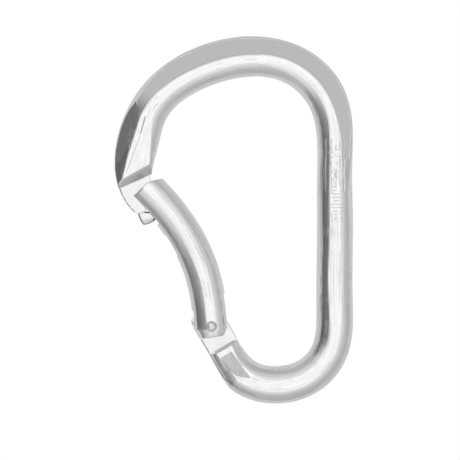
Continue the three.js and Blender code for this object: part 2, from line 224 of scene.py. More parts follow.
def round_corners(poly, cut=0.45, step=0.3):
    """Polygon with each corner replaced by a short curve and its long edges divided."""
    p = np.asarray(poly, float)
    n = len(p)
    out = []
    for i in range(n):
        a, b, c = p[i - 1], p[i], p[(i + 1) % n]
        la, lc = np.linalg.norm(a - b), np.linalg.norm(c - b)
        s = b + (a - b) / la * min(cut, 0.42 * la)
        e = b + (c - b) / lc * min(cut, 0.42 * lc)
        for t in (0.0, 0.25, 0.5, 0.75, 1.0):
            out.append((1 - t)**2 * s + 2 * t * (1 - t) * b + t * t * e)
    res = []
    for i in range(len(out)):
        a, b = out[i], out[(i + 1) % len(out)]
        m = max(1, int(np.ceil(np.linalg.norm(b - a) / step)))
        res += [a + (b - a) * k / m for k in range(m)]
    keep = [res[0]]
    for q in res[1:]:
        if np.linalg.norm(q - keep[-1]) > 0.03:
            keep.append(q)
    if np.linalg.norm(keep[0] - keep[-1]) < 0.03:
        keep.pop()
    return np.asarray(keep)


def edge_plate(name, poly, half, radius, cut=0.45, arc=4, domed=False):
    """Plate with rounded long edges; a domed one draws its outline in towards its middle."""
    p = round_corners(poly, cut)
    area = 0.5 * np.sum(p[:, 0] * np.roll(p[:, 1], -1) - np.roll(p[:, 0], -1) * p[:, 1])
    if area < 0:
        p = p[::-1]
    d = np.roll(p, -1, 0) - np.roll(p, 1, 0)
    d /= np.linalg.norm(d, axis=1)[:, None]
    inward = np.stack([-d[:, 1], d[:, 0]], 1)
    if domed:
        to_mid = p.mean(0) - p
        inward = to_mid / np.linalg.norm(to_mid, axis=1).mean()
    rings = []
    angles = [math.pi / 2 * k / arc for k in range(arc + 1)]
    for a in reversed(angles):
        q = p + inward * radius * (1 - math.cos(a))
        rings.append(np.stack([q[:, 0], np.full(len(q), -half + radius * (1 - math.sin(a))), q[:, 1]], 1))
    for a in angles:
        q = p + inward * radius * (1 - math.cos(a))
        rings.append(np.stack([q[:, 0], np.full(len(q), half - radius * (1 - math.sin(a))), q[:, 1]], 1))
    n = len(p)
    verts = np.concatenate(rings)
    faces = []
    for k in range(len(rings) - 1):
        a, b = k * n, (k + 1) * n
        faces += [(a + i, a + (i + 1) % n, b + (i + 1) % n, b + i) for i in range(n)]
    last = (len(rings) - 1) * n
    faces.append(tuple(reversed(range(n))))
    faces.append(tuple(last + i for i in range(n)))
    return new_object(name, verts, outward(verts, faces))


def flat_plate(name, poly, half):
    p = np.asarray(poly, float)
    n = len(p)
    verts = np.concatenate([np.stack([p[:, 0], np.full(n, y), p[:, 1]], 1) for y in (-half, half)])
    faces = [(i, (i + 1) % n, n + (i + 1) % n, n + i) for i in range(n)]
    faces += [tuple(reversed(range(n))), tuple(range(n, 2 * n))]
    return new_object(name, verts, outward(verts, faces))


def lathe(name, profile, origin, axis, steps=64, rough=None):
    """Closed solid of revolution of (radius, height) about a line through origin."""
    axis = Vector(axis).normalized()
    side = axis.orthogonal().normalized()
    other = axis.cross(side)
    a, s, o, c = np.array(axis), np.array(side), np.array(other), np.asarray(origin, float)
    rings = []
    for r, h in profile[1:-1]:
        t = np.arange(steps) * 2 * math.pi / steps
        rings.append(c + a * h + np.outer(np.cos(t), s) * r + np.outer(np.sin(t), o) * r)
    verts, faces = skin(rings, c + a * profile[0][1], c + a * profile[-1][1])
    return new_object(name, verts, faces)


def combine(name, base, steps):
    """Applies joins and cuts to base and gives one new mesh object; the tools are removed."""
    for op, other in steps:
        m = base.modifiers.new("solid", "BOOLEAN")
        m.operation, m.object, m.solver = op, other, "MANIFOLD"
    dg = bpy.context.evaluated_depsgraph_get()
    mesh = bpy.data.meshes.new_from_object(base.evaluated_get(dg))
    mesh.name = name
    obj = bpy.data.objects.new(name, mesh)
    bpy.context.scene.collection.objects.link(obj)
    for old in [base] + [o for _, o in steps]:
        bpy.data.objects.remove(old)
    return obj


def shade(obj, angle=28.0):
    obj.data.shade_smooth()
    obj.data.set_sharp_from_angle(angle=math.radians(angle))


# ------------------------------------------------------------------ body
outer_at, inner_at = cubic(fair(OUTER)), cubic(fair(INNER))
S_END = 45.15


def stations(s):
    s = np.asarray(s, float)
    si = s + 0.8 * np.clip(1 - s / 4, 0, 1)**2
    a, b = outer_at(s), inner_at(si)
    step = (b - a) / np.linalg.norm(b - a, axis=-1, keepdims=True)
    grow_b = np.asarray(np.interp(s, [2, 7, 41, 44.5], [0.02, 0.08, 0.06, 0]))[..., None]
    grow_a = np.asarray(np.interp(s, [27, 29, 41, 42, 43, 44, 45], [0, 0.16, 0.25, 0.45, 0.85, 0.25, 0]))[..., None]
    return a - step * grow_a, b + step * grow_b


def centre_line(s):
    o, i = stations(s)
    return (o + i) / 2


fine_s = np.linspace(0, S_END, 4000)
fine_c = centre_line(fine_s)
fine_len = np.concatenate([[0], np.cumsum(np.linalg.norm(np.diff(fine_c, axis=0), axis=1))])
LENGTH = fine_len[-1]
density = 1 / np.where((fine_len < 34) | (fine_len > LENGTH - 24), 0.26, 0.5)
cdf = np.concatenate([[0], np.cumsum((density[1:] + density[:-1]) / 2 * np.diff(fine_len))])
ring_count = int(cdf[-1])
ring_s = np.interp(np.linspace(0, cdf[-1], ring_count), cdf, fine_s)

theta_fine = np.linspace(-math.pi, math.pi, 2000)
theta_density = 1 + 1.6 * np.exp(-((np.abs(theta_fine) - math.radians(35)) / math.radians(10))**2)
theta_cdf = np.concatenate([[0], np.cumsum((theta_density[1:] + theta_density[:-1]) / 2)])
THETA = np.interp(np.linspace(0, theta_cdf[-1], 137)[:-1], theta_cdf, theta_fine)

P_NOSE = plane([-29.12, 4.62, -10.16], [-34.5, 3.72, -26.52], [-30.1, 3.22, -6.8])
P_STRIP = plane([-29.12, 4.66, -10.16], [-34.5, 3.74, -26.52], [-33.21, 3.86, -27.13])
P_CHEEK = plane([-27.61, 4.98, -11.12], [-29.68, 3.95, -25.56], [-17.61, 4.98, -11.12])
P_SLOPE = plane([-33.99, 3.92, -28.28], [-26.4, 3.92, -24.53], [-34.75, NOSE_TANG_H, -31.53])
P_LEAF = plane([1.51, 5.2, -84.08], [-7.17, 4.5, -78.6], [-2.83, 4.5, -76.66])


def body_ring_terms(s):
    o, i = stations(s)
    w = np.linalg.norm(o - i, axis=1) / 2
    out = (o - i) / (2 * w)[:, None]
    mid = (o + i) / 2
    e = 0.02
    t = centre_line(np.minimum(s + e, S_END)) - centre_line(np.maximum(s - e, 0))
    t /= np.linalg.norm(t, axis=1)[:, None]
    lean = np.abs(out[:, 0] * t[:, 1] - out[:, 1] * t[:, 0])
    return mid, out, t, w, lean


def body_points(s, rho_fn=None):
    mid, out, tan, w, lean = body_ring_terms(s)
    c = lambda a: a[:, None]
    cs, sn = np.cos(THETA)[None, :], np.sin(THETA)[None, :]
    slope = np.radians(soft_ramp(s, [[23, WEDGE], [25, 45], [27, 62], [29, 90]]))
    wide = w * lean
    turn = soft_ramp(s, [[22, 0], [27, 1]])
    turn = turn * turn * (3 - 2 * turn)
    r = (1 - turn) * soft_ramp(s, [[0, 5.3], [3, 5.1], [5, BAR_R]]) + turn * np.where(s < 43, wide, np.maximum(wide, 5.0))
    over = soft_ramp(s, [[0, 0.8], [1, 0.8], [3, 0.3], [4.5, 0]])
    centre = (1 - turn) * (-wide - over + r)
    wall = wide + soft_ramp(s, [[23, 0], [25.5, 0], [27, 0.5], [28, 1.2], [29, 3], [41, 3], [43, 0.6], [43.8, 0]])
    edge = soft_ramp(s, [[0, 0.3], [2.2, 0.35], [3.6, 0.8], [6, 0.8], [8, 0.5], [10, 0.42], [21, 0.42], [26, 1.6]])
    ridge = np.minimum(soft_ramp(s, RIDGE), r * np.sin(slope))
    reach = ridge * np.sin(slope) + np.sqrt(r * r - ridge * ridge) * np.cos(slope)
    bevel = soft_ramp(s, [[2.2, 0], [3.2, 0.6], [4.2, 1.05], [5.4, 1.35], [6.3, 0.95], [7.2, 0.45], [8.2, 0]])
    edge_u = wide - bevel
    edge_v = (reach - (edge_u - centre) * np.sin(slope)) / np.maximum(np.cos(slope), 0.2)
    bs, bc = math.sin(math.radians(62)), math.cos(math.radians(62))
    near_end = np.clip(1 - (LENGTH - np.interp(s, fine_s, fine_len)) / 3.0, 0, 1)
    back = 0.24 * near_end**1.5

    def place(rho):
        u, v = rho * cs, rho * sn
        k = c(back) * np.maximum(np.abs(v) - HINGE_TANG_H, 0)
        x = c(mid[:, 0]) + c(out[:, 0]) * u - c(tan[:, 0]) * k
        z = c(mid[:, 1]) + c(out[:, 1]) * u - c(tan[:, 1]) * k
        return u, v, np.stack([x, np.abs(v), z], -1)

    def value(rho):
        u, v, pt = place(rho)
        u = u * c(lean)
        du, dv = u - c(centre), np.abs(v)
        f = np.where(np.arctan2(du, dv) <= c(slope), np.hypot(du, dv) - c(r),
                     du * c(np.sin(slope)) + dv * c(np.cos(slope)) - c(r))
        f = smooth_max(f, du * c(np.sin(slope)) + dv * c(np.cos(slope)) - c(reach), 0.12)
        nose, hinge = c(s < 13), c(s > 38)
        f = smooth_max(f, np.where(nose & c(bevel > 0.02), (u - c(edge_u)) * bs + (dv - c(edge_v)) * bc, -9), 0.06)
        f = smooth_max(f, np.where(nose, P_CHEEK(pt), -9), 0.08)
        f = smooth_max(f, np.where(nose, P_STRIP(pt), -9), 0.04)
        f = smooth_max(f, np.where(nose, P_NOSE(pt), -9), c(soft_ramp(s, [[0, 0.45], [3, 0.35], [4.4, 0.07]])))
        f = smooth_max(f, np.where(nose, P_SLOPE(pt), -9), 0.35)
        f = smooth_max(f, np.where(hinge, P_LEAF(pt), -9), 0.08)
        f = round_max(f, u - c(wall), c(edge))
        f = round_max(f, -c(wide) - u, 0.25)
        flat = pt[..., 1] - FLAT_Y - 0.24 - 0.03 * np.maximum(0, np.maximum(-57 - pt[..., 2], pt[..., 2] + 17))
        flat = np.where(pt[..., 0] > 18, flat, -9)
        return smooth_max(f, flat, 0.25)

    rho = solve_radius(value, (len(s), len(THETA)))
    return rho, place, (mid, out, tan)


rho, place, (mid, out, tan) = body_points(ring_s)
u, v, pt = place(rho)
pt[..., 1] = v
rings = [pt[k] for k in range(len(ring_s))]
# rounded end at the shoulder
FILLET = 0.3
last_rho = rho[-1:]
end_rings = []
for a in np.radians([22.5, 45, 67.5, 90]):
    rr = np.repeat(last_rho - FILLET * (1 - math.cos(a)), len(ring_s), 0)
    uu, vv, q = place(rr)
    q = q[-1].copy()
    q[:, 1] = vv[-1]
    q[:, 0] += tan[-1, 0] * FILLET * math.sin(a)
    q[:, 2] += tan[-1, 1] * FILLET * math.sin(a)
    end_rings.append(q)
for f in (0.8, 0.55, 0.3):
    rr = np.repeat((last_rho - FILLET) * f, len(ring_s), 0)
    uu, vv, q = place(rr)
    q = q[-1].copy()
    q[:, 1] = vv[-1]
    q[:, 0] += tan[-1, 0] * FILLET
    q[:, 2] += tan[-1, 1] * FILLET
    end_rings.append(q)
c0 = [mid[0, 0], 0, mid[0, 1]]
c1 = [mid[-1, 0] + tan[-1, 0] * FILLET, 0, mid[-1, 1] + tan[-1, 1] * FILLET]
verts, faces = skin(rings + end_rings, c0, c1)
loft = new_object("loft", verts, faces)

y_axis = (0, 1, 0)
body = combine("carabiner_body", loft, [
    ("UNION", edge_plate("a", np.vstack([cubic(NOSE_EDGE)(np.linspace(0, 7.4, 34)), NOSE_TANG]), NOSE_TANG_H, 0.28)),
    ("UNION", edge_plate("b", NOSE_LIP, LIP_H, 0.95, cut=0.75, arc=8, domed=True)),
    ("UNION", edge_plate("n", LIP_NECK, LIP_H - 0.35, 0.2)),
    ("UNION", edge_plate("c", np.vstack([cubic(fair(HINGE_TANG[:12], 1.5))(np.linspace(0, 11, 45)), HINGE_TANG[12:]]),
                         HINGE_TANG_H, 0.22)),
    ("DIFFERENCE", lathe("d", [(0, -9), (1.5, -9), (1.5, 9), (0, 9)], (RIVET[0], 0, RIVET[1]), y_axis)),
])

# ------------------------------------------------------------------ gate
gate_at = cubic(fair(GATE_PATH, 0.05))
END_X, END_Z = np.asarray(GATE_END).T
FOOT_X, FOOT_Z = np.asarray(GATE_FOOT).T
path_q = np.linspace(0, 16, 1601)
path_c = gate_at(path_q)
path_t = np.gradient(path_c, path_q, axis=0)
path_speed = np.linalg.norm(path_t, axis=1)
path_t /= path_speed[:, None]
path_len = np.concatenate([[0], np.cumsum(np.linalg.norm(np.diff(path_c, axis=0), axis=1))])


def gate_point(length, across):
    x = np.interp(length, path_len, path_c[:, 0])
    z = np.interp(length, path_len, path_c[:, 1])
    tx = np.interp(length, path_len, path_t[:, 0])
    tz = np.interp(length, path_len, path_t[:, 1])
    n = np.hypot(tx, tz)
    return x + tz / n * across, z - tx / n * across


# where each line along the gate starts and stops
ACROSS = np.linspace(-5.2, 5.2, 209)
L0, L1 = [], []
for a in ACROSS:
    x, z = gate_point(path_len, np.full(len(path_len), a))
    keep = z < np.interp(x, END_X, END_Z)
    L0.append(path_len[np.argmax(keep)])
    foot = z < np.interp(x, FOOT_X, FOOT_Z)
    L1.append(path_len[np.argmax(foot)] if foot.any() else path_len[-1])
L0, L1 = np.asarray(L0), np.asarray(L1)
MID0, MID1 = L0.mean(), L1.mean()

GTHETA = np.linspace(-math.pi, math.pi, 193)[:-1]
CONE = math.radians(18)


def gate_rings(lam, inset=0.0, shift=0.0, shrink=1.0):
    """Rings at the shares lam of the gate's length; inset and shift are for the rounded ends."""
    lam = np.atleast_1d(lam)[:, None]
    cs, sn = np.cos(GTHETA)[None, :], np.sin(GTHETA)[None, :]
    f0, f1 = np.clip(1 - lam / 0.35, 0, 1)**2, np.clip(1 - (1 - lam) / 0.3, 0, 1)**2

    def place(rho):
        u, v = rho * cs, rho * sn
        length = MID0 + (MID1 - MID0) * lam + (np.interp(u, ACROSS, L0) - MID0) * f0 + (np.interp(u, ACROSS, L1) - MID1) * f1 + shift
        x, z = gate_point(length, u)
        return length, np.stack([x, np.abs(v), z], -1), v

    def value(rho):
        length, pt, v = place(rho)
        f = np.broadcast_to(rho, v.shape) - GATE_R
        f = smooth_max(f, (rho - GATE_R) * math.cos(CONE) + (-70.87 - pt[..., 2]) * math.sin(CONE), 0.08)
        # shallow milled relief on the outer side
        depth = np.interp(length, [17.6, 18.2, 24.6, 25.6, 28.4], [0, 0.38, 0.36, 0.05, 0])
        return smooth_max(f, rho * cs - GATE_R + depth, 0.12)

    rho = solve_radius(value, (lam.shape[0], len(GTHETA)), 6.0)
    rho = (rho - inset) * shrink
    length, pt, v = place(rho)
    pt[..., 1] = v
    return [pt[k] for k in range(pt.shape[0])]


span = MID1 - MID0
GF0, GF1 = 0.3, 0.22
arc = np.radians([90, 67.5, 45, 22.5])
g = []
for s in (0.12, 0.3, 0.5, 0.7, 0.88):
    g += gate_rings(0.0, GF0, 0.0, s)
for a in arc:
    g += gate_rings(0.0, GF0 * (1 - math.cos(a)), GF0 * (1 - math.sin(a)))
g += gate_rings(np.linspace(GF0 / span, 1 - GF1 / span, 150))
for a in arc[::-1]:
    g += gate_rings(1.0, GF1 * (1 - math.cos(a)), -GF1 * (1 - math.sin(a)))
for s in (0.88, 0.7, 0.5, 0.3, 0.12):
    g += gate_rings(1.0, GF1, 0.0, s)
ca, cb = g[0].mean(0), g[-1].mean(0)
verts, faces = skin(g, ca, cb)
rod = new_object("rod", verts, faces)
bore_axis = (BORE_DIR[0], 0, BORE_DIR[1])
base = (BORE_BASE[0], 0, BORE_BASE[1])
gate = combine("bent_gate", rod, [
    ("DIFFERENCE", flat_plate("e", NOSE_SLOT, NOSE_SLOT_H)),
    ("DIFFERENCE", flat_plate("f", HINGE_SLOT, HINGE_SLOT_H)),
    ("DIFFERENCE", lathe("h", [(0, 3.0), (BORE_R, 3.0), (BORE_R, BORE_END), (0, BORE_END)], base, bore_axis)),
    ("DIFFERENCE", lathe("i", [(0, -9), (1.5, -9), (1.5, 9), (0, 9)], (RIVET[0], 0, RIVET[1]), y_axis)),
    ("DIFFERENCE", lathe("j", [(0, -3.0), (1.12, -3.0), (1.12, 3.0), (0, 3.0)], (PIN[0], 0, PIN[1]), y_axis)),
])

# ------------------------------------------------------------------ rivet, pin, plunger, spring
head = [(0.0, 5.03), (0.35, 5.015), (0.7, 4.965), (0.92, 4.90), (1.0, 4.84), (1.04, 4.70), (1.06, 4.48), (1.16, 4.42),
        (1.24, 4.62), (1.34, 4.70), (1.42, 4.73), (1.46, 4.70), (1.48, 4.6), (1.48, 2.1), (1.2, 2.05)]
profile = [(r, -h) for r, h in head] + [(r, h) for r, h in reversed(head)]
rivet = lathe("gate_rivet", profile, (RIVET[0], 0, RIVET[1]), y_axis, 72)
pin = lathe("latch_pin_fine", [(0, -2.96), (0.9, -2.96), (1.03, -2.91), (1.1, -2.8), (1.1, 2.8), (1.03, 2.91), (0.9, 2.96), (0, 2.96)],
            (PIN[0], 0, PIN[1]), y_axis, 64)
dome = [(PLUNGER_R * math.sin(a), PLUNGER_TIP + PLUNGER_R * (1 - math.cos(a))) for a in np.linspace(0, math.pi / 2, 13)]
top = PLUNGER_TIP + PLUNGER_LEN
plunger = lathe("plunger_fine", dome + [(1.5, top - 0.25), (1.43, top - 0.07), (1.25, top), (0, top)], base, bore_axis, 64)

lo_h, hi_h = top + 0.3 + SPRING_WIRE / 2, BORE_END - 0.3 - SPRING_WIRE / 2
n_turn = 44
tt = np.linspace(0, 1, SPRING_TURNS * n_turn + 1)
ang = tt * SPRING_TURNS * 2 * math.pi
lift = np.interp(tt * SPRING_TURNS, [0, 1, SPRING_TURNS - 1, SPRING_TURNS], [0, SPRING_WIRE * 1.04, hi_h - lo_h - SPRING_WIRE * 1.04, hi_h - lo_h])
ax = np.array(Vector(bore_axis).normalized())
sx = np.array([ax[2], 0, -ax[0]])
sy = np.array([0, 1.0, 0])
cen = np.asarray(base) + np.outer(lo_h + lift, ax) + SPRING_R * (np.outer(np.cos(ang), sx) + np.outer(np.sin(ang), sy))
tg = np.gradient(cen, axis=0)
tg /= np.linalg.norm(tg, axis=1)[:, None]
rad = np.outer(np.cos(ang), sx) + np.outer(np.sin(ang), sy)
bi = np.cross(tg, rad)
bi /= np.linalg.norm(bi, axis=1)[:, None]
rad = np.cross(bi, tg)
wire_rings = []
for k in range(len(cen)):
    a = np.arange(12) * 2 * math.pi / 12
    wire_rings.append(cen[k] + 0.5 * SPRING_WIRE * (np.outer(np.cos(a), rad[k]) + np.outer(np.sin(a), bi[k])))
verts, faces = skin(wire_rings, cen[0], cen[-1])
spring = new_object("gate_spring_fine", verts, faces)

for obj in (body, gate, rivet, pin, plunger, spring):
    obj.data.transform(Matrix.Scale(0.001, 4))
    shade(obj)


# ------------------------------------------------------------------ straightened coordinates for the finish
def along(obj, line, lengths):
    """Stores each point's place on the straightened bar: across, through and along, in mm."""
    mesh = obj.data
    co = np.zeros(len(mesh.vertices) * 3)
    mesh.vertices.foreach_get("co", co)
    co = co.reshape(-1, 3) * 1000
    xz = co[:, [0, 2]]
    best = np.zeros(len(xz), int)
    for k in range(0, len(xz), 4000):
        d = ((xz[k:k + 4000, None, :] - line[None, :, :])**2).sum(-1)
        best[k:k + 4000] = d.argmin(1)
    t = np.gradient(line, axis=0)
    t /= np.linalg.norm(t, axis=1)[:, None]
    d = xz - line[best]
    tb = t[best]
    across = d[:, 0] * tb[:, 1] - d[:, 1] * tb[:, 0]
    length = lengths[best] + (d * tb).sum(1)
    attr = mesh.attributes.new("bar", "FLOAT_VECTOR", "POINT")
    attr.data.foreach_set("vector", np.stack([across, co[:, 1], length], 1).astype(np.float32).ravel())


coarse = slice(None, None, 6)
along(body, fine_c[coarse], fine_len[coarse])
along(gate, path_c[coarse], path_len[coarse])

# ------------------------------------------------------------------ materials
class Graph:
    """Small helper that builds a node tree."""

    def __init__(self, tree):
        self.tree = tree
        self.n, self.l = tree.nodes, tree.links

    def node(self, kind, **values):
        n = self.n.new(kind)
        for k, v in values.items():
            setattr(n, k, v)
        return n

    def put(self, socket, value):
        if isinstance(value, bpy.types.NodeSocket):
            self.l.new(value, socket)
        else:
            socket.default_value = value

    def math(self, op, a, b=0.0, c=None, clamp=False):
        n = self.node("ShaderNodeMath", operation=op, use_clamp=clamp)
        self.put(n.inputs[0], a)
        self.put(n.inputs[1], b)
        if c is not None:
            self.put(n.inputs[2], c)
        return n.outputs[0]

    def vmath(self, op, a, b):
        n = self.node("ShaderNodeVectorMath", operation=op)
        self.put(n.inputs[0], a)
        self.put(n.inputs[1], b)
        return n.outputs["Value"] if op == "DOT_PRODUCT" else n.outputs[0]

    def span(self, value, a, b, out_a=0.0, out_b=1.0, smooth=True):
        n = self.node("ShaderNodeMapRange", interpolation_type="SMOOTHSTEP" if smooth else "LINEAR")
        self.put(n.inputs["Value"], value)
        for name, v in (("From Min", a), ("From Max", b), ("To Min", out_a), ("To Max", out_b)):
            self.put(n.inputs[name], v)
        return n.outputs[0]

    def noise(self, vector, scale, detail=2.0, rough=0.5, distort=0.0):
        n = self.node("ShaderNodeTexNoise")
        self.put(n.inputs["Vector"], vector)
        self.put(n.inputs["Scale"], scale)
        self.put(n.inputs["Detail"], detail)
        self.put(n.inputs["Roughness"], rough)
        self.put(n.inputs["Distortion"], distort)
        return n.outputs[0]

    def cells(self, vector, scale, feature="F1"):
        n = self.node("ShaderNodeTexVoronoi", feature=feature)
        self.put(n.inputs["Vector"], vector)
        self.put(n.inputs["Scale"], scale)
        return n.outputs["Distance"]

    def attr(self, name, out="Vector"):
        return self.node("ShaderNodeAttribute", attribute_name=name).outputs[out]

    def turned(self, vector, angles, scale=(1, 1, 1)):
        n = self.node("ShaderNodeMapping")
        self.put(n.inputs["Vector"], vector)
        n.inputs["Rotation"].default_value = [math.radians(a) for a in angles]
        n.inputs["Scale"].default_value = scale
        return n.outputs[0]

    def bump(self, height, distance, normal=None, strength=1.0):
        n = self.node("ShaderNodeBump")
        self.put(n.inputs["Height"], height)
        self.put(n.inputs["Distance"], distance)
        self.put(n.inputs["Strength"], strength)
        if normal is not None:
            self.put(n.inputs["Normal"], normal)
        return n.outputs[0]

    def mix(self, factor, a, b):
        n = self.node("ShaderNodeMix", data_type="RGBA")
        self.put(n.inputs["Factor"], factor)
        self.put(n.inputs["A"], a)
        self.put(n.inputs["B"], b)
        return n.outputs["Result"]


def start(name):
    mat = bpy.data.materials.new(name)
    mat.use_nodes = True
    g = Graph(mat.node_tree)
    p = mat.node_tree.nodes["Principled BSDF"]
    p.inputs["Metallic"].default_value = 1.0
    return mat, g, p


def scratches(g, vector, angle, width=0.02, reach=9.0, density=0.62):
    """Thin broken lines in one direction, 0 to 1; vector in mm."""
    v = g.turned(vector, (angle, angle * 0.6, angle * 1.3), (1 / reach, 2.2, 2.2))
    line = g.noise(v, 1.0, 1.0, 0.3)
    thin = g.math("ABSOLUTE", g.math("SUBTRACT", line, 0.5))
    hit = g.span(thin, width, 0.0)
    gate_ = g.span(g.noise(vector, 0.22, 1.0), density - 0.04, density + 0.04)
    return g.math("MULTIPLY", hit, gate_)


def line_mask(g, flat, p0, p1, width, fade=0.6):
    """1 on a thin line between two points (x, z) in mm, 0 away from it."""
    (x0, z0), (x1, z1) = p0, p1
    length = math.hypot(x1 - x0, z1 - z0)
    tx, tz = (x1 - x0) / length, (z1 - z0) / length
    off = g.vmath("SUBTRACT", flat, (x0, 0.0, z0))
    side = g.math("ABSOLUTE", g.vmath("DOT_PRODUCT", off, (-tz, 0.0, tx)))
    run = g.vmath("DOT_PRODUCT", off, (tx, 0.0, tz))
    ends = g.math("MULTIPLY", g.span(run, -fade / 3, fade), g.span(run, length + fade / 3, length - fade))
    return g.math("MULTIPLY", g.span(side, width, width * 0.25), ends)


def facet(g, front, fn, tol=0.07):
    """1 on the plane fn (in x, half thickness, z), 0 off it."""
    off = float(fn(np.zeros(3)))
    n = [float(fn(np.eye(3)[k])) - off for k in range(3)]
    d = g.math("ABSOLUTE", g.math("ADD", g.vmath("DOT_PRODUCT", front, tuple(n)), off))
    return g.span(d, tol, tol * 0.5)


def product(g, *values):
    out = values[0]
    for v in values[1:]:
        out = g.math("MULTIPLY", out, v)
    return out


def body_regions(g, mm):
    """Shares of dull machined surface, rough leaf and calm flat, from the place on the body."""
    sep = g.node("ShaderNodeSeparateXYZ")
    g.put(sep.inputs[0], mm)
    x, y, z = sep.outputs
    ay = g.math("ABSOLUTE", y)
    join = g.node("ShaderNodeCombineXYZ")
    g.put(join.inputs[0], x)
    g.put(join.inputs[1], ay)
    g.put(join.inputs[2], z)
    front = join.outputs[0]
    at = lambda h: g.span(g.math("ABSOLUTE", g.math("SUBTRACT", ay, h)), 0.10, 0.03)
    tang = product(g, at(NOSE_TANG_H), g.span(x, -19, -21), g.span(z, -26, -27))
    tang2 = product(g, at(HINGE_TANG_H), g.span(x, 0.0, -1.0), g.span(z, -64, -65))
    lip = product(g, at(LIP_H), g.span(x, -19, -21), g.span(z, -36, -37))
    tang = g.math("MAXIMUM", g.math("MAXIMUM", tang, tang2), lip)
    slope = product(g, facet(g, front, P_SLOPE), g.span(x, -23, -24.5), g.span(ay, 2.32, 2.42))
    cheek = product(g, facet(g, front, P_CHEEK), g.span(x, -23, -24), g.span(z, -10, -11))
    nose = product(g, facet(g, front, P_NOSE), g.span(x, -27, -28), g.span(z, -5, -6))
    # the leaf: below its top edge, left of its right edge, inside an arc
    a, b, c, d = (-7.0, -78.57), (-3.81, -76.78), (1.54, -84.17), (-4.59, -82.12)
    ux, uz, vx, vz = d[0] - a[0], d[1] - a[1], c[0] - a[0], c[1] - a[1]
    k = 2 * (ux * vz - uz * vx)
    cx = a[0] + (vz * (ux**2 + uz**2) - uz * (vx**2 + vz**2)) / k
    cz = a[1] + (ux * (vx**2 + vz**2) - vx * (ux**2 + uz**2)) / k
    rad = math.hypot(a[0] - cx, a[1] - cz)
    dist = g.math("SQRT", g.math("ADD", g.math("POWER", g.math("SUBTRACT", x, cx), 2.0), g.math("POWER", g.math("SUBTRACT", z, cz), 2.0)))

    def side(p, q):
        length = math.hypot(q[0] - p[0], q[1] - p[1])
        nx, nz = (q[1] - p[1]) / length, -(q[0] - p[0]) / length
        return g.math("SUBTRACT", g.vmath("DOT_PRODUCT", mm, (nx, 0.0, nz)), nx * p[0] + nz * p[1])

    edge_a, edge_b = side(a, b), side(b, c)
    leaf = product(g, g.span(dist, rad + 0.05, rad - 0.12), g.span(edge_a, -0.05, 0.12), g.span(edge_b, -0.05, 0.12),
                   g.span(ay, 3.0, 3.2))
    return tang, slope, cheek, nose, leaf


